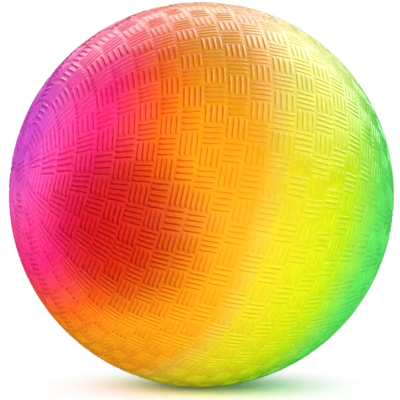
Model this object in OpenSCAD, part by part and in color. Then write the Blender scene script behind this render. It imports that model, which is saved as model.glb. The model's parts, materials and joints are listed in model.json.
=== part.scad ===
// Playground dodgeball: a moulded rubber cover over a thread-wound carcass and a bladder, with a needle valve.
// Millimetres. The origin is the ball's centre and +Z is up, as the ball lies with its valve low at the back.

/* [Ball] */
// Diameter of the inflated ball, over the crests of the grip ribs
ball_d = 216; // [150:1:330]
// Thickness of the rubber cover, from its inner face to the rib crests
cover_wall = 1.6; // [1.2:0.1:4]
// Height of the moulded grip ribs above the plain surface
rib_height = 0.35; // [0.1:0.05:0.8]
// Thickness of the layer of wound and bonded nylon thread
winding_wall = 0.4; // [0.2:0.1:1.5]
// Thickness of the bladder
bladder_wall = 0.6; // [0.4:0.1:2]
// Thickness of the film of rubber cement between two bonded layers
cement_film = 0.1; // [0.05:0.05:0.3]

/* [Valve place] */
// Turn of the valve from +X towards +Y, in degrees
valve_turn = 18; // [0:1:359]
// Drop of the valve below the ball's middle, in degrees
valve_drop = 11; // [-90:1:90]
// Diameter of the smooth pad that the ribs leave bare round the valve
pad_d = 23; // [18:0.5:40]
// Diameter of the rubberised patch round the valve's neck, in the thread layer
patch_d = 34; // [18:1:60]

/* [Valve housing] */
// Diameter of the neck and the stem
neck_d = 11; // [10:0.5:16]
// Depth of the neck's end below the smooth pad
neck_sink = 0.2; // [0:0.05:0.5]
// Diameter of the flange that is bonded to the bladder's inside
flange_d = 28; // [20:1:50]
// Thickness of the flange
flange_wall = 1.2; // [0.8:0.1:3]
// Length of the stem below the flange
stem_length = 14; // [8:0.5:30]

/* [Valve core] */
// Diameter of the core's head
head_d = 8; // [6.5:0.25:8.5]
// Thickness of the core's head
head_height = 1.4; // [0.8:0.1:2]
// Diameter of the core's shank
shank_d = 5; // [4:0.25:5.5]
// Length of shank that stands out below the stem
shank_tail = 1.5; // [0.5:0.25:4]
// Radial clearance of the core in its housing
core_clearance = 0.05; // [0.02:0.01:0.1]

/* [Needle way] */
// Diameter of the guide hole for the inflating needle
needle_d = 2.1; // [1.6:0.1:2.6]
// Diameter of the lead-in at the guide hole's mouth
lead_in_d = 3.4; // [2.8:0.1:4.5]
// Depth of the lead-in
lead_in_depth = 0.6; // [0.2:0.1:1]
// Length of core left below the guide hole, which the slit goes through
slit_depth = 5; // [2:0.5:7]
// Width of the slit across the core
slit_width = 2; // [1.2:0.1:3.4]
// Gap between the slit's two lips
slit_gap = 0.1; // [0.05:0.05:0.2]

/* [Hidden] */
$fn = 120;
// How far a cutting shape runs past what it cuts
cut_over = 1;

// Radii of the layers, from the rib crests inwards
crest_r = ball_d / 2;
plain_r = crest_r - rib_height;
cover_in_r = crest_r - cover_wall;
winding_out_r = cover_in_r - cement_film;
winding_in_r = winding_out_r - winding_wall;
bladder_out_r = winding_in_r - cement_film;
bladder_in_r = bladder_out_r - bladder_wall;
flange_out_r = bladder_in_r - cement_film;
flange_in_r = flange_out_r - flange_wall;

// Heights along the valve's axis, measured from the ball's centre
neck_top = plain_r - neck_sink;
stem_end = flange_in_r - stem_length;
head_seat = neck_top - head_height;
core_end = stem_end - shank_tail;
guide_end = core_end + slit_depth;

// The layers are cut this much wider than the neck, all round, for the cement
neck_hole_d = neck_d + 2 * cement_film;

// Turns a shape that is drawn along +Z to stand along the valve's axis
module on_valve_axis() {
    rotate([0, 90 + valve_drop, valve_turn]) children();
}

// A spherical layer between two radii, closed all round
module layer(outer_r, inner_r) {
    difference() {
        sphere(r = outer_r);
        sphere(r = inner_r);
    }
}

// A round column along the valve's axis, from one height to another
module column(d, from, to) {
    translate([0, 0, from]) cylinder(d = d, h = to - from);
}

// The outermost layer, with a shallow smooth pad and a hole where the valve comes through
module cover() {
    color("orangered") on_valve_axis() difference() {
        layer(crest_r, cover_in_r);
        intersection() {
            layer(crest_r + cut_over, plain_r);
            column(pad_d, 0, crest_r + 2 * cut_over);
        }
        column(neck_hole_d, 0, crest_r + cut_over);
    }
}

// Nylon thread wound on the bladder and bonded, which keeps the ball round. It leaves the patch's place free.
module carcass_winding() {
    color("whitesmoke") on_valve_axis() difference() {
        layer(winding_out_r, winding_in_r);
        column(patch_d + 2 * cement_film, 0, crest_r);
    }
}

// The airtight layer, pierced only for the valve's neck
module bladder() {
    color("dimgray") on_valve_axis() difference() {
        layer(bladder_out_r, bladder_in_r);
        column(neck_hole_d, 0, crest_r);
    }
}

// A collar of rubberised fabric that fills the hole in the thread layer and holds the neck
module valve_patch() {
    color("darkkhaki") on_valve_axis() difference() {
        intersection() {
            layer(winding_out_r, winding_in_r);
            column(patch_d, 0, crest_r);
        }
        column(neck_hole_d, 0, crest_r);
    }
}

// A flanged rubber tube: the flange is bonded under the bladder and the neck ends flush in the cover's pad
module valve_housing() {
    color("black") on_valve_axis() difference() {
        union() {
            intersection() {
                layer(flange_out_r, flange_in_r);
                column(flange_d, 0, crest_r);
            }
            column(neck_d, stem_end, neck_top);
        }
        column(shank_d + 2 * core_clearance, stem_end - cut_over, neck_top);
        column(head_d + 2 * core_clearance, head_seat, neck_top + cut_over);
    }
}

// A soft plug with a guide hole for the needle, closed by a slit that the air in the ball holds shut
module valve_core() {
    color("gray") on_valve_axis() difference() {
        union() {
            column(shank_d, core_end, head_seat);
            column(head_d, head_seat, neck_top);
        }
        column(needle_d, guide_end, neck_top + cut_over);
        translate([0, 0, neck_top - lead_in_depth])
            cylinder(d1 = needle_d, d2 = lead_in_d, h = lead_in_depth);
        translate([-slit_width / 2, -slit_gap / 2, core_end - cut_over])
            cube([slit_width, slit_gap, slit_depth + 2 * cut_over]);
    }
}

cover();
carcass_winding();
bladder();
valve_patch();
valve_housing();
valve_core();
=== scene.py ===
import json
import math
import bpy
import numpy as np
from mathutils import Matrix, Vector


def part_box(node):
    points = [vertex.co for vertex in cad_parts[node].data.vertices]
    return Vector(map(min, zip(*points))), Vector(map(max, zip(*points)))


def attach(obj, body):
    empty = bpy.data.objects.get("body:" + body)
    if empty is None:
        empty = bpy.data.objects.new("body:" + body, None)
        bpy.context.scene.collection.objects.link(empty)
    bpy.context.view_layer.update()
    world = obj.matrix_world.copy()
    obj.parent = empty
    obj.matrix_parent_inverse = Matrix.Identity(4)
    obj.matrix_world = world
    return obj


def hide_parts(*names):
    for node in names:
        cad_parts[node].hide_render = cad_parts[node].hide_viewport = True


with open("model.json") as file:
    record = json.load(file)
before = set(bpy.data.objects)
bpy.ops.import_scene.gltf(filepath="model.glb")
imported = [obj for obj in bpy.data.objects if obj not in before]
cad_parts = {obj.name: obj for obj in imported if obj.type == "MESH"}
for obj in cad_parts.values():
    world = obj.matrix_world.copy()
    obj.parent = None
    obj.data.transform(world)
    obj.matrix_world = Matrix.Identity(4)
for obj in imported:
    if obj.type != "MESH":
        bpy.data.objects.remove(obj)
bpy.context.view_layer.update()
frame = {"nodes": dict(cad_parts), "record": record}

mm = 0.001  # the ball's sizes below are in millimetres and the studio's in metres, as Blender's are
mounts = {mount["name"]: mount for mount in frame["record"]["mounts"]}
coverLow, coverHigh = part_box("cover")
crestRadius = (coverHigh.x - coverLow.x) / 2 / mm
noiseSpan = (0.3, 0.7)  # most values of a noise texture lie between these


# helpers

# sRGB hex to the linear colour that a shader wants.
def hexToLinear(hexColour):
    channels = [int(hexColour[i:i + 2], 16) / 255 for i in (1, 3, 5)]
    return tuple(c / 12.92 if c <= 0.04045 else ((c + 0.055) / 1.055) ** 2.4 for c in channels) + (1.0,)


# Adds a node. An input is either a value or another node's output, which gets linked.
def addNode(tree, kind, inputs=None, **settings):
    node = tree.nodes.new("ShaderNode" + kind)
    for name, value in settings.items():
        setattr(node, name, value)
    for name, value in (inputs or {}).items():
        if isinstance(value, bpy.types.NodeSocket):
            tree.links.new(value, node.inputs[name])
        else:
            node.inputs[name].default_value = value
    return node


def newMaterial(name):
    material = bpy.data.materials.new(name)
    material.use_nodes = True
    material.node_tree.nodes.clear()
    return material, material.node_tree


# A unit vector, from a turn from +X towards +Y and a rise above the horizon, in degrees.
def pointing(turn, rise):
    turn, rise = math.radians(turn), math.radians(rise)
    return Vector((math.cos(turn) * math.cos(rise), math.sin(turn) * math.cos(rise), math.sin(rise)))


# the frame of the moulded pattern: rings of cells, counted from the end that faces left to the valve

valveAxis = np.array(mounts["needle_bore"]["axis"])
# The rings of a real mould aren't quite parallel, so their axis swings a little from pole to pole:
# how far along the rings, and where their axis then points, as a turn and a rise.
ringAxis = [(0, -158.5, 9), (12, -158.5, 9), (35, -157.5, 11), (60, -161, 12.4), (85, -158.6, 16),
            (110, -157.6, 16), (140, -156.5, 17.5)]
valveRingsFrom = 166  # degrees along, from where the rings lie round the valve


# Points in metres, at an angle theta from the left pole and phi round it. Any of the three may be an array.
def onBall(theta, phi, radius):
    theta, phi, radius = np.broadcast_arrays(theta, phi, radius)
    along, turn, rise = np.radians(ringAxis).T
    ways = np.stack([np.cos(turn) * np.cos(rise), np.sin(turn) * np.cos(rise), np.sin(rise)], 1)
    along, ways = np.append(along, math.radians(valveRingsFrom)), np.vstack([ways, -valveAxis])
    axis = np.stack([np.interp(theta, along, way) for way in ways.T], -1)
    axis /= np.linalg.norm(axis, axis=-1, keepdims=True)
    up = np.array([0, 0, 1]) - axis[..., 2:] * axis
    up /= np.linalg.norm(up, axis=-1, keepdims=True)
    out = np.cos(phi)[..., None] * up + np.sin(phi)[..., None] * np.cross(axis, up)
    out = np.sin(theta)[..., None] * out + np.cos(theta)[..., None] * axis
    return out * radius[..., None] * mm


# cover: one closed skin with its grip ribs moulded in, the valve's hole and an inner face

cover = {
    "ribHeight": 0.35,
    "ribShare": 0.3,  # a rib's half width, as a share of the step from rib to rib
    "ribRoundness": 2.0,  # 2 gives a parabola, more gives a flatter top with steeper sides
    "endTaper": 1.5,  # length over which a rib's end comes down to the plain skin
    "endGap": 0.75,  # plain skin between a rib's end and the edge of its cell
    # the mesh's rows: across a rib in half widths, over its tapered end, and along its straight part
    "acrossShares": [-1.12, -1, -0.84, -0.55, 0, 0.55, 0.84, 1, 1.12],
    "endShares": [1, 0.85, 0.55, 0],
    "alongShares": [-0.35, 0.35],
    "poleCell": 11.8,  # side of the one cell on the left pole
    "poleCellTurn": 115,  # degrees
    # degrees from the left pole
    "bandEdges": [6.5, 13.2, 20.2, 27, 33.7, 40.8, 48.2, 55.4, 61.7, 67.2, 72.9, 78.6, 84.6, 91.7, 98.2,
                  104.6, 110.5, 116.3, 122.3, 128.8, 135.2, 141.6, 148, 154.4, 160.7, 167, 173.3],
    # Each band's cells where the picture shows them, with the angles round the pole where they start and end.
    # h has four ribs along the band, and v, x and w have four, five and six across it. The rest alternates.
    "cells": ["160 hvhvh 352", "200 hv 242 hvhv 341", "189 hvhvh 270 vhvhv 361",
              "192 vhvhh 259 vhvh 306 vhvh 359", "203 hvhvhvh 270 vhvhvhv 352",
              "215 vh 234 vvhvh 278 vhvhvhv 348", "207 vh 223 vhvhvhvhvhvhvh 332 vh 348",
              "213 vhh 234 vhvh 262 xh 280 vhvhvhvh 339", "216 vhvhvh 256 vhvhvh 305 vhvh 332 vh 345",
              "214 hvhvhvh 257 vhvhvhvhv 319 hvhv 346", "221 hvhvhvh 265 vhvhvh 309 vhvhv 342",
              "223 hvhvhvh 270 wh 287 vhvhvhvh 341", "225 vhvhvh 262 wh 279 vhvhvhvh 332",
              "217 hvhvhv 254 hvhvhvhvhvh 328", "222 hvhvhvhvhvhvhv 316", "221 vhvhvhvhvhvh 300",
              "226 vhvhvhvhvhv 301", "231 vhvhvhvhv 294", "245 vhvhvh 298", "200 vhvhvh 256",
              "190 hvhvhv 250", "205 vhvhvh 275", "180 hvhvhv 262", "170 vhvh 240", "190 hvhv 280",
              "200 vhvh 332"],
    "ribsPerCell": {"h": 4, "v": 4, "x": 5, "w": 6},
    "hiddenCell": 12.2,  # width of a cell where the picture shows none
    "lean": 5,  # degrees that the ribs across a band lean round the pole
    "padRadius": 11.5,
    "holeRadius": 5.6,
    "holeRounding": 0.4,
    "roundingTurns": [0, 30, 60, 90],  # degrees, where the mesh samples the hole's rounded edge
    "holeColumns": 128,
    "wall": 1.6,
    "innerRows": 48,
}
plainRadius = crestRadius - cover["ribHeight"]
skin = {"points": [], "quads": [], "triangles": [], "count": 0}


# Adds a grid of points joined by quads, and gives back its vertex numbers.
def addPatch(theta, phi, radius, closed=False):
    points = onBall(theta, phi, radius)
    rows, columns = points.shape[:2]
    numbers = np.arange(rows * columns).reshape(rows, columns) + skin["count"]
    skin["points"].append(points.reshape(-1, 3))
    skin["count"] += rows * columns
    ring = np.hstack([numbers, numbers[:, :1]]) if closed else numbers
    corners = [ring[:-1, :-1], ring[1:, :-1], ring[1:, 1:], ring[:-1, 1:]]
    skin["quads"].append(np.stack([c.ravel() for c in corners], 1))
    return numbers


# Fills the strip between two rows of points with triangles, stepping whichever row lags behind.
def fillStrip(lower, lowerAt, upper, upperAt):
    i = j = 0
    while i < len(lower) - 1 or j < len(upper) - 1:
        if j == len(upper) - 1 or (i < len(lower) - 1 and lowerAt[i + 1] <= upperAt[j + 1]):
            skin["triangles"].append((lower[i], upper[j], lower[i + 1]))
            i += 1
        else:
            skin["triangles"].append((lower[i], upper[j], upper[j + 1]))
            j += 1


# The same for two rows that go all the way round. They are turned to begin side by side.
def fillRing(lower, lowerAt, upper, upperAt):
    apart = (upperAt - lowerAt[0] + math.pi) % (2 * math.pi) - math.pi
    first = int(np.argmin(np.abs(apart)))
    upper, upperAt = np.roll(upper, -first), np.roll(upperAt, -first)
    lowerAt = np.unwrap(np.append(lowerAt, lowerAt[0]))
    upperAt = np.unwrap(np.append(upperAt, upperAt[0]))
    upperAt += lowerAt[0] + apart[first] - upperAt[0]
    fillStrip(np.append(lower, lower[0]), lowerAt, np.append(upper, upper[0]), upperAt)


# Height above the plain skin. across is in half widths from a rib's middle line, and pastEnd says how far
# into its tapered end a point lies, as a share of it.
def ribHeight(across, pastEnd):
    crossSection = np.maximum(0, 1 - np.abs(across) ** cover["ribRoundness"])
    return cover["ribHeight"] * crossSection * (1 - pastEnd ** 2)


# Places along a rib, and each one's pastEnd.
def alongRib(halfLength):
    taper = cover["endTaper"]
    straight = halfLength - taper
    ends = np.array(cover["endShares"])
    places = [-straight - taper * ends[:, None], straight * np.array(cover["alongShares"])[:, None]]
    places.append(straight + taper * ends[::-1, None])
    pastEnd = np.concatenate([ends, [0] * len(cover["alongShares"]), ends[::-1]])
    return np.concatenate(places), pastEnd


# A cell whose ribs run round the pole. low and high are angles from it, left and right angles round it.
def ringCell(low, high, left, right):
    count, shares = cover["ribsPerCell"]["h"], np.array(cover["acrossShares"])
    step = (high - low) / count
    theta = (low + step * (np.arange(count)[:, None] + 0.5 + shares * cover["ribShare"])).ravel()
    across = np.tile(shares, count)
    girth = plainRadius * np.sin(theta)
    places, pastEnd = alongRib((right - left) / 2 * girth - cover["endGap"])
    phi = (left + right) / 2 + places / girth
    radius = plainRadius + ribHeight(across[None, :], pastEnd[:, None])
    return addPatch(theta[:, None], phi.T, radius.T), theta, phi.T


# A cell whose ribs run from pole to pole, leaning a little.
def meridianCell(low, high, left, right, count):
    shares = np.array(cover["acrossShares"])
    step = (right - left) / count
    places, pastEnd = alongRib((high - low) / 2 * plainRadius - cover["endGap"])
    theta = (low + high) / 2 + places.ravel() / plainRadius
    lean = places * math.tan(math.radians(cover["lean"])) / (plainRadius * np.sin(theta))[:, None]
    phi = lean + (left + step * (np.arange(count)[:, None] + 0.5 + shares * cover["ribShare"])).ravel()
    across = np.tile(shares, count)
    radius = plainRadius + ribHeight(across[None, :], pastEnd[:, None])
    return addPatch(theta[:, None], phi, radius), theta, phi


# The kinds of a band's cells and the angles between them, all the way round.
def bandLayout(low, high, described):
    parts = described.split()
    angles, words = [math.radians(float(part)) for part in parts[::2]], parts[1::2]
    hidden = 2 * math.pi - (angles[-1] - angles[0])
    count = round(hidden * plainRadius * math.sin((low + high) / 2) / cover["hiddenCell"])
    sameEnds = (words[0][0] == "h") == (words[-1][-1] == "h")
    count += (count % 2 == 0) == sameEnds
    words.append(("vh" if words[-1][-1] == "h" else "hv") * count)
    words[-1] = words[-1][:count]
    angles.append(angles[0] + 2 * math.pi)
    edges = []
    for start, end, word in zip(angles, angles[1:], words):
        widths = np.array([cover["ribsPerCell"][kind] / cover["ribsPerCell"]["v"] for kind in word])
        edges += list(start + (end - start) * np.cumsum(np.append(0, widths[:-1])) / widths.sum())
    return "".join(words), edges + [angles[-1]]


# All the cells of one band. Gives back its two edges, as vertex numbers and angles round the pole.
def band(low, high, described):
    kinds, edges = bandLayout(low, high, described)
    cells = []
    for kind, left, right in zip(kinds, edges, edges[1:]):
        if kind == "h":
            cells.append(ringCell(low, high, left, right))
        else:
            cells.append(meridianCell(low, high, left, right, cover["ribsPerCell"][kind]))
    for (left, leftAt, _), (right, rightAt, _) in zip(cells, cells[1:] + cells[:1]):
        fillStrip(left[::-1, -1], -leftAt[::-1], right[::-1, 0], -rightAt[::-1])
    return [(np.concatenate([n[row] for n, _, _ in cells]), np.concatenate([phi[row] for _, _, phi in cells]))
            for row in (0, -1)]


# The one cell on the pole, laid out flat and wrapped on to it. Gives back its edge.
def poleCell():
    count, shares = cover["ribsPerCell"]["h"], np.array(cover["acrossShares"])
    side = cover["poleCell"]
    places, pastEnd = alongRib(side / 2 - cover["endGap"])
    across = side / count * (np.arange(count)[:, None] + 0.5 + shares * cover["ribShare"]).ravel() - side / 2
    x, y = np.meshgrid(places.ravel(), across, indexing="ij")
    radius = plainRadius + ribHeight(np.tile(shares, count)[None, :], pastEnd[:, None])
    phi = np.arctan2(y, x) + math.radians(cover["poleCellTurn"])
    numbers = addPatch(np.hypot(x, y) / plainRadius, phi, radius)
    return [np.concatenate([grid[:-1, 0], grid[-1, :-1], grid[:0:-1, -1], grid[0, :0:-1]])
            for grid in (numbers, phi)]


# The smooth pad, the valve's hole and the inner face, as one turned shape. Gives back its outer edge.
def valveEnd():
    hole, rounding = cover["holeRadius"], cover["holeRounding"]
    columns = cover["holeColumns"]
    innerRadius = crestRadius - cover["wall"]
    turns = np.radians(cover["roundingTurns"])
    fromAxis = [cover["padRadius"], (cover["padRadius"] + hole) / 2]
    fromAxis += list(hole + rounding * (1 - np.sin(turns))) + [hole]
    radius = [plainRadius] * 2 + list(plainRadius - rounding * (1 - np.cos(turns))) + [innerRadius]
    theta = list(math.pi - np.arcsin(np.array(fromAxis) / np.array(radius)))
    face = np.linspace(theta[-1], 0, cover["innerRows"] + 1)[1:-1]
    phi = np.arange(columns) / columns * 2 * math.pi
    numbers = addPatch(np.array(theta + list(face))[:, None], phi[None, :],
                       np.array(radius + [innerRadius] * len(face))[:, None], closed=True)
    skin["points"].append(onBall(0.0, 0.0, innerRadius)[None, :])
    last = np.append(numbers[-1], numbers[-1, 0])
    skin["triangles"] += [(last[i], skin["count"], last[i + 1]) for i in range(columns)]
    skin["count"] += 1
    return numbers[0], phi


def buildCover():
    edges = np.radians(cover["bandEdges"])
    lastEdge = poleCell()
    for low, high, described in zip(edges, edges[1:], cover["cells"]):
        near, far = band(low, high, described)
        fillRing(*lastEdge, *near)
        lastEdge = far
    fillRing(*lastEdge, *valveEnd())
    mesh = bpy.data.meshes.new("ribbed_cover")
    faces = np.concatenate(skin["quads"]).tolist() + [tuple(map(int, t)) for t in skin["triangles"]]
    mesh.from_pydata(np.concatenate(skin["points"]).tolist(), [], faces)
    mesh.polygons.foreach_set("use_smooth", [True] * len(mesh.polygons))
    mesh.update()
    ball = bpy.data.objects.new("ribbed_cover", mesh)
    bpy.context.scene.collection.objects.link(ball)
    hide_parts("cover")
    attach(ball, "ball")
    return ball


print("cover: moulding the ribs")
ribbedCover = buildCover()
print("cover:", len(ribbedCover.data.vertices), "points,", len(ribbedCover.data.polygons), "faces")


# the cover's finish: moulded rubber, sprayed with flexible satin paint in soft-edged bands

# To the eye its colours are deep and even and its sheen is broad. Fine lines run along the ribs: a painted
# shade on each rib's flank that faces away from one direction, and a painted highlight on the other.
paint = {
    "turn": -157,  # where the magenta end points, in degrees from +X towards +Y
    "rise": 21,
    "swing": 0.2,  # the sprayed stripes aren't quite parallel: how far they swing sideways from end to end
    "twist": 0.11,  # and how far they lean
    # The pale stop at 0.05 and the yellows beside it are the paint's colour with a little painted sheen in
    # them.
    "bands": [(-1, "#40e472"), (-0.74, "#5cf26c"), (-0.56, "#68f260"), (-0.46, "#96ee4a"), (-0.36, "#bdea14"),
              (-0.25, "#d9e404"), (-0.13, "#e0dc10"), (0, "#e2ce1c"), (0.05, "#e4be30"), (0.12, "#eca60c"),
              (0.24, "#ec9a06"), (0.37, "#ee9608"), (0.46, "#f08208"), (0.55, "#f2620c"), (0.65, "#f03a44"),
              (0.75, "#ee1c74"), (0.85, "#f03284"), (0.94, "#ea4cae"), (1, "#d444c6")],
    "paintedShadeTurn": -115.3,  # middle of a darker red patch, a painted shade on the ball's front left
    "paintedShadeRise": -6.5,
    "paintedShadeReach": (0, 33),  # degrees from there to where it starts to fade and where it ends
    "paintedShadeTint": "#c8524a",
    "paintedLightFrom": (-34, 38),  # turn and rise of a painted light: painted highlight on the ribs' near flanks, painted shade by the far ones
    "paintedShadeGamma": (0.9, 1.5),  # gamma of the colour under the painted highlight and under the painted shade, where the plain skin has 1
    "fullShadeTilt": 0.36,  # the slope of a flank that gets the full painted highlight or shade, in radians
    "shadeStrongFrom": (0.1, 0.6),  # the painted shade is stronger towards the red end: where that starts, and where it is full
    "shadeStrength": (0.45, 2.4),  # how strong the painted highlight and shade are on the one side of there and on the other
    # how far the full painted shade darkens the colour
    "fullShadeDarkening": 0.8,
    "overspray": 0.048,  # how far the stripes' edges could wander, as a share of the ball's radius
    "overspraySize": 38,
    "roughness": (0.24, 0.29),
    "ior": 1.3,
    "specularLevel": 0.28,  # matched to the weak sheen of the real paint
    "peelSize": 2.6,  # the paint's orange peel, drawn as coarse as it needs to be to show
    "peelHeight": 0.002,
}


def satinPaintedRubber():
    material, tree = newMaterial("satin_painted_rubber")
    axis = pointing(paint["turn"], paint["rise"])
    side = axis.cross(Vector((0, 0, 1))).normalized()
    bend = paint["swing"] * axis + paint["twist"] * side.cross(axis)
    paintedShadeWay = pointing(paint["paintedShadeTurn"], paint["paintedShadeRise"])

    # how far a point lies along the stripes' axis, from -1 to 1, bent and with a wandering edge
    place = addNode(tree, "TexCoord").outputs["Object"]
    inRadii = addNode(tree, "VectorMath", {0: place, "Scale": 1 / (crestRadius * mm)}, operation="SCALE")
    dots = [addNode(tree, "VectorMath", {0: inRadii.outputs["Vector"], 1: way}, operation="DOT_PRODUCT")
            for way in (axis, side, bend, paintedShadeWay)]
    along, aside, bent, shadePatchFacing = [dot.outputs["Value"] for dot in dots]
    swung = addNode(tree, "Math", {0: aside, 1: bent, 2: along}, operation="MULTIPLY_ADD")
    wander = addNode(tree, "TexNoise", {"Vector": place, "Scale": 1 / (paint["overspraySize"] * mm),
                                        "Detail": 3.0})
    drift = addNode(tree, "Math", {0: wander.outputs["Fac"], 1: -0.5}, operation="ADD")
    moved = addNode(tree, "Math", {0: drift.outputs["Value"], 1: paint["overspray"],
                                   2: swung.outputs["Value"]}, operation="MULTIPLY_ADD")

    # the stripes' colours, and a darker red patch of painted shade
    fromEnd = addNode(tree, "MapRange", {"Value": moved.outputs["Value"], "From Min": -1.0, "From Max": 1.0})
    ramp = addNode(tree, "ValToRGB", {"Fac": fromEnd.outputs["Result"]})
    stops = ramp.color_ramp.elements
    for number, (at, colour) in enumerate(paint["bands"]):
        stop = stops[number] if number < 2 else stops.new(1.0)  # a ramp comes with two
        stop.position, stop.color = (at + 1) / 2, hexToLinear(colour)
    full, gone = [math.cos(math.radians(reach)) for reach in paint["paintedShadeReach"]]
    shadePatch = addNode(tree, "MapRange", {"Value": shadePatchFacing, "From Min": gone, "From Max": full},
                   interpolation_type="SMOOTHSTEP")
    withShadePatch = addNode(tree, "Mix", {"Factor": shadePatch.outputs["Result"], "A": ramp.outputs["Color"],
                                   "B": hexToLinear(paint["paintedShadeTint"])},
                     data_type="RGBA", blend_type="MULTIPLY")

    # painted light on the ribs: a painted highlight on the flanks that face one way, and a painted shade on
    # those that face away
    outward = addNode(tree, "VectorMath", {0: place}, operation="NORMALIZE")
    normal = addNode(tree, "TexCoord").outputs["Normal"]
    tilt = addNode(tree, "VectorMath", {0: outward.outputs["Vector"], 1: normal}, operation="SUBTRACT")
    facingAway = addNode(tree, "VectorMath", {0: tilt.outputs["Vector"], 1: pointing(*paint["paintedLightFrom"])},
                  operation="DOT_PRODUCT")
    weakShadeEnd, strongShadeEnd = paint["shadeStrongFrom"]
    weakShade, strongShade = paint["shadeStrength"]
    shadeStrength = addNode(tree, "MapRange", {"Value": moved.outputs["Value"], "From Min": weakShadeEnd,
                                           "From Max": strongShadeEnd, "To Min": weakShade, "To Max": strongShade})
    shadeAmount = addNode(tree, "Math", {0: facingAway.outputs["Value"], 1: shadeStrength.outputs["Result"]},
                    operation="MULTIPLY")
    highlightGamma, shadeGamma = paint["paintedShadeGamma"]
    steep = paint["fullShadeTilt"]
    flankGamma = addNode(tree, "MapRange", {"Value": shadeAmount.outputs["Value"], "From Min": -steep, "From Max": steep,
                                       "To Min": 2 - shadeGamma, "To Max": shadeGamma})
    paintedShadeGamma = addNode(tree, "Math", {0: flankGamma.outputs["Result"], 1: highlightGamma}, operation="MAXIMUM")
    shade = addNode(tree, "MapRange", {"Value": paintedShadeGamma.outputs["Value"], "From Min": 1.0, "From Max": shadeGamma,
                                       "To Min": 1.0, "To Max": paint["fullShadeDarkening"]})
    shadedColour = addNode(tree, "Gamma", {"Color": withShadePatch.outputs["Result"], "Gamma": paintedShadeGamma.outputs["Value"]})
    painted = addNode(tree, "VectorMath", {0: shadedColour.outputs["Color"], "Scale": shade.outputs["Result"]},
                      operation="SCALE")

    # a satin surface with a little orange peel
    peel = addNode(tree, "TexNoise", {"Vector": place, "Scale": 1 / (paint["peelSize"] * mm), "Detail": 1.0})
    smoother, duller = paint["roughness"]
    dull = addNode(tree, "MapRange", {"Value": peel.outputs["Fac"], "From Min": noiseSpan[0],
                                      "From Max": noiseSpan[1], "To Min": smoother, "To Max": duller})
    bump = addNode(tree, "Bump", {"Height": peel.outputs["Fac"], "Distance": paint["peelHeight"] * mm})
    shader = addNode(tree, "BsdfPrincipled", {
        "Base Color": painted.outputs["Vector"], "Roughness": dull.outputs["Result"],
        "Normal": bump.outputs["Normal"], "IOR": paint["ior"], "Specular IOR Level": paint["specularLevel"]})
    addNode(tree, "OutputMaterial", {"Surface": shader.outputs["BSDF"]})
    return material


print("cover: painting")
ribbedCover.data.materials.append(satinPaintedRubber())


# the valve and the bladder: moulded rubber, black or grey

rubbers = {
    "valve_housing": {"material": "moulded_black_rubber", "colour": "#161617", "dusty": "#262627",
                      "roughness": (0.5, 0.68), "grainSize": 0.5},
    "valve_core": {"material": "moulded_grey_rubber", "colour": "#3a3a3c", "dusty": "#4c4c4e",
                   "roughness": (0.42, 0.6), "grainSize": 0.4},
    "bladder": {"material": "talc_dusted_butyl", "colour": "#131314", "dusty": "#3a3936",
                "roughness": (0.6, 0.85), "grainSize": 1.2},
}
rubberFinish = {
    "patchGrains": 9,  # a patch of dust is this many grains wide
    "dustBetween": (0.4, 0.7),  # values of the noise where the dust starts and is full
    "grainHeight": 0.02,
    "ior": 1.52,
}


# It is matt, and bloomed in patches where it has a pale dust of talc on it.
def mouldedRubber(node):
    look = rubbers[node]
    material, tree = newMaterial(look["material"])
    place = addNode(tree, "TexCoord").outputs["Object"]
    grainSize = look["grainSize"] * mm
    patchSize = rubberFinish["patchGrains"] * grainSize
    grain = addNode(tree, "TexNoise", {"Vector": place, "Scale": 1 / grainSize, "Detail": 3.0})
    patches = addNode(tree, "TexNoise", {"Vector": place, "Scale": 1 / patchSize, "Detail": 4.0})
    ramp = addNode(tree, "ValToRGB", {"Fac": patches.outputs["Fac"]})
    colours = (look["colour"], look["dusty"])
    for stop, at, colour in zip(ramp.color_ramp.elements, rubberFinish["dustBetween"], colours):
        stop.position, stop.color = at, hexToLinear(colour)
    smoother, duller = look["roughness"]
    dull = addNode(tree, "MapRange", {"Value": patches.outputs["Fac"], "To Min": smoother, "To Max": duller})
    bump = addNode(tree, "Bump", {"Height": grain.outputs["Fac"],
                                  "Distance": rubberFinish["grainHeight"] * mm})
    shader = addNode(tree, "BsdfPrincipled", {
        "Base Color": ramp.outputs["Color"], "Roughness": dull.outputs["Result"],
        "Normal": bump.outputs["Normal"], "IOR": rubberFinish["ior"]})
    addNode(tree, "OutputMaterial", {"Surface": shader.outputs["BSDF"]})
    return material


# the hidden layers: wound nylon thread under dried latex, and rubberised canvas

# The spacing is from thread to thread, drawn several times as coarse as real thread so that it shows.
textiles = {
    "carcass_winding": {"material": "latex_bonded_nylon", "light": "#e9e6dc", "dark": "#a49f8e",
                        "spacing": 5.03, "turns": (0, 37, 74, 111, 148)},
    "valve_patch": {"material": "rubberised_canvas", "light": "#8c8264", "dark": "#5a5340",
                    "spacing": 5.65, "turns": (0, 90)},
}
threadFinish = {
    "slant": 0.3,  # radians that the threads lie off the ball's own axes
    "waver": 1.5,  # how unevenly they run
    "lightFrom": 0.55,  # height on a thread above which it is no longer dark
    "threadHeight": 0.15,
    "roughness": (0.8, 0.6),  # between the threads and on them
}
waveLength = 2 * math.pi / 20  # of Blender's wave texture, at a scale of 1


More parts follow.
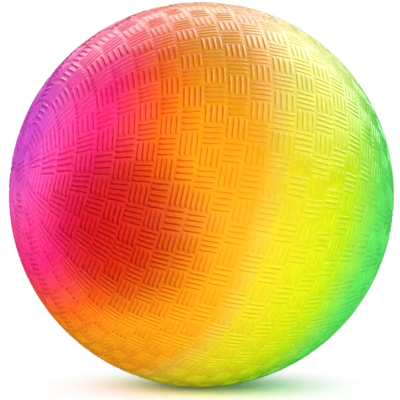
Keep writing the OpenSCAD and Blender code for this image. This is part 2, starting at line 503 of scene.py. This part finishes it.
# Crossing threads show as soft pale ridges with darker lines between them.
def crossedThreads(node):
    look = textiles[node]
    material, tree = newMaterial(look["material"])
    place = addNode(tree, "TexCoord").outputs["Object"]
    height = None
    for turn in look["turns"]:
        rotation = (threadFinish["slant"], math.radians(turn), math.radians(2 * turn))
        turned = addNode(tree, "Mapping", {"Vector": place, "Rotation": rotation})
        wave = addNode(tree, "TexWave", {"Vector": turned.outputs["Vector"],
                                         "Scale": waveLength / (look["spacing"] * mm),
                                         "Distortion": threadFinish["waver"], "Detail": 1.0})
        if height is None:
            height = wave.outputs["Fac"]
        else:
            upper = addNode(tree, "Math", {0: height, 1: wave.outputs["Fac"]}, operation="MAXIMUM")
            height = upper.outputs["Value"]
    ramp = addNode(tree, "ValToRGB", {"Fac": height})
    ends = (threadFinish["lightFrom"], 1)
    for stop, at, colour in zip(ramp.color_ramp.elements, ends, (look["dark"], look["light"])):
        stop.position, stop.color = at, hexToLinear(colour)
    bump = addNode(tree, "Bump", {"Height": height, "Distance": threadFinish["threadHeight"] * mm})
    between, onThread = threadFinish["roughness"]
    dull = addNode(tree, "MapRange", {"Value": height, "To Min": between, "To Max": onThread})
    shader = addNode(tree, "BsdfPrincipled", {
        "Base Color": ramp.outputs["Color"], "Roughness": dull.outputs["Result"],
        "Normal": bump.outputs["Normal"]})
    addNode(tree, "OutputMaterial", {"Surface": shader.outputs["BSDF"]})
    return material


print("valve and layers: finishes")
for name, node in frame["nodes"].items():
    if name == "cover":
        continue
    finish = mouldedRubber(name) if name in rubbers else crossedThreads(name)
    for slot in node.material_slots:
        slot.material = finish


# studio: a white floor and room, soft lamps and a long lens

studio = {
    "cameraTurn": -90,  # degrees, like the lamps' turns and rises
    "cameraElevation": 4.0,
    "cameraDistance": 2.0,
    "sensorWidth": 36,  # mm, as the camera wants it
    "imagePixels": 400,
    "ballPixels": (201.4, 194.7, 192.6),  # the ball's middle and radius in the picture
    "farthestSeen": 30,
    "floorRadius": 6.0,
    "floorCorners": 128,
    "floorWhite": (0.98, 1.45),  # how white the floor is to the light, and to the camera, for a pale shadow
    "whiteFrom": (0.02, 0.1),  # from the contact: the floor keeps the shadow there, and is white farther out
    "roomLight": 0.51,
    "roomMirrored": 0.03,  # the paint mirrors the cards, and hardly any of the room in front
    "whiteMirrored": 0.15,  # but a little of the white behind the ball
    "whiteDepth": (0.6, 0.95),  # Y values of a direction where that white starts and is full: 1 is behind
    "whiteRise": (-0.3, 0.0),  # and its Z values
}


def makeStudio():
    scene = bpy.context.scene
    scene.view_settings.view_transform = "Standard"
    camera = bpy.data.objects.new("camera", bpy.data.cameras.new("camera"))
    scene.collection.objects.link(camera)
    scene.camera = camera
    back = pointing(studio["cameraTurn"], studio["cameraElevation"])
    camera.location = back * studio["cameraDistance"]
    camera.rotation_euler = back.to_track_quat("Z", "Y").to_euler()
    acrossPixel, downPixel, radiusPixels = studio["ballPixels"]
    half = math.tan(math.asin(crestRadius * mm / studio["cameraDistance"]))
    pixels = studio["imagePixels"]
    camera.data.sensor_width = studio["sensorWidth"]
    camera.data.lens = studio["sensorWidth"] * radiusPixels / half / pixels
    camera.data.shift_x = (pixels / 2 - acrossPixel) / pixels
    camera.data.shift_y = (downPixel - pixels / 2) / pixels
    camera.data.clip_end = studio["farthestSeen"]

    # the floor is matt round the contact, where it takes the ball's shadow, and plain white beyond
    bpy.ops.mesh.primitive_circle_add(vertices=studio["floorCorners"], radius=studio["floorRadius"],
                                      fill_type="NGON")
    floor = bpy.context.object
    floor.name = "floor"
    floor.location.z = coverLow.z
    floor.visible_glossy = False  # so that the paint doesn't mirror it
    material, tree = newMaterial("white_card")
    seen = addNode(tree, "LightPath")
    away = addNode(tree, "VectorMath", {0: addNode(tree, "TexCoord").outputs["Object"]}, operation="LENGTH")
    near, far = studio["whiteFrom"]
    fade = addNode(tree, "MapRange", {"Value": away.outputs["Value"], "From Min": near, "From Max": far},
                   interpolation_type="SMOOTHSTEP")
    glow = addNode(tree, "Math", {0: seen.outputs["Is Camera Ray"], 1: fade.outputs["Result"]},
                   operation="MULTIPLY")
    toLight, toCamera = studio["floorWhite"]
    whiteness = addNode(tree, "MapRange", {"Value": seen.outputs["Is Camera Ray"], "To Min": toLight,
                                           "To Max": toCamera})
    matt = addNode(tree, "BsdfDiffuse", {"Color": whiteness.outputs["Result"]})
    lit = addNode(tree, "Emission", {"Color": (1, 1, 1, 1), "Strength": 1.0})
    both = addNode(tree, "MixShader", {0: glow.outputs["Value"], 1: matt.outputs["BSDF"],
                                       2: lit.outputs["Emission"]})
    addNode(tree, "OutputMaterial", {"Surface": both.outputs["Shader"]})
    floor.data.materials.append(material)

    # the room is plain white to the camera and through glass, and the paint mirrors a little of it
    world = bpy.data.worlds.new("studio")
    scene.world = world
    world.use_nodes = True
    tree = world.node_tree
    tree.nodes.clear()
    seen = addNode(tree, "LightPath")
    direction = addNode(tree, "SeparateXYZ", {"Vector": addNode(tree, "TexCoord").outputs["Generated"]})
    low, high = studio["whiteRise"]
    above = addNode(tree, "MapRange", {"Value": direction.outputs["Z"], "From Min": low, "From Max": high,
                                       "To Min": studio["roomMirrored"], "To Max": studio["whiteMirrored"]})
    near, far = studio["whiteDepth"]
    behind = addNode(tree, "MapRange", {"Value": direction.outputs["Y"], "From Min": near, "From Max": far,
                                        "To Min": studio["roomMirrored"], "To Max": above.outputs["Result"]},
                     interpolation_type="SMOOTHSTEP")
    mirrored = addNode(tree, "Mix", {"Factor": seen.outputs["Is Glossy Ray"], "A": studio["roomLight"],
                                     "B": behind.outputs["Result"]})
    looked = addNode(tree, "Math", {0: seen.outputs["Is Camera Ray"], 1: seen.outputs["Is Transmission Ray"]},
                     operation="MAXIMUM")
    strength = addNode(tree, "Mix", {"Factor": looked.outputs["Value"], "A": mirrored.outputs["Result"],
                                     "B": 1.0})
    background = addNode(tree, "Background", {"Color": (1, 1, 1, 1), "Strength": strength.outputs["Result"]})
    addNode(tree, "OutputWorld", {"Surface": background.outputs["Background"]})


# Each lamp stands at a turn from the camera, a rise above the horizon and a distance, and faces the ball.
# The boxes light it, and the cards only show in its sheen.
softBoxes = {
    "leftBox": {"turn": -60, "rise": 30, "distance": 1.3, "width": 0.9, "height": 0.9, "radiance": 1.75},
    "tableStrip": {"turn": 0, "rise": -11, "distance": 0.5, "width": 1.0, "height": 0.09, "radiance": 9.4},
    "lowLeftStrip": {"turn": -55, "rise": 2, "distance": 1.3, "width": 0.9, "height": 0.26, "radiance": 1.9},
    "lowRightStrip": {"turn": 75, "rise": 2, "distance": 1.3, "width": 0.9, "height": 0.26, "radiance": 2.5},
}
sheenCards = {
    "rightCard": {"turn": 105, "rise": 42, "distance": 1.0, "width": 1.4, "height": 0.9, "radiance": 8.0},
    "topCard": {"turn": 180, "rise": 50, "distance": 1.3, "width": 1.7, "height": 1.0, "radiance": 6.0},
}


def hangLamps(lamps, inSheen):
    for name, lamp in lamps.items():
        data = bpy.data.lights.new(name, "AREA")
        data.shape = "RECTANGLE"
        data.size, data.size_y = lamp["width"], lamp["height"]
        data.energy = lamp["radiance"] * math.pi * lamp["width"] * lamp["height"]
        box = bpy.data.objects.new(name, data)
        bpy.context.scene.collection.objects.link(box)
        away = pointing(lamp["turn"] + studio["cameraTurn"], lamp["rise"])
        box.location = away * lamp["distance"]
        box.rotation_euler = away.to_track_quat("Z", "Y").to_euler()
        box.visible_glossy = inSheen
        box.visible_diffuse = not inSheen


print("studio: floor, lamps and camera")
makeStudio()
hangLamps(softBoxes, inSheen=False)
hangLamps(sheenCards, inSheen=True)
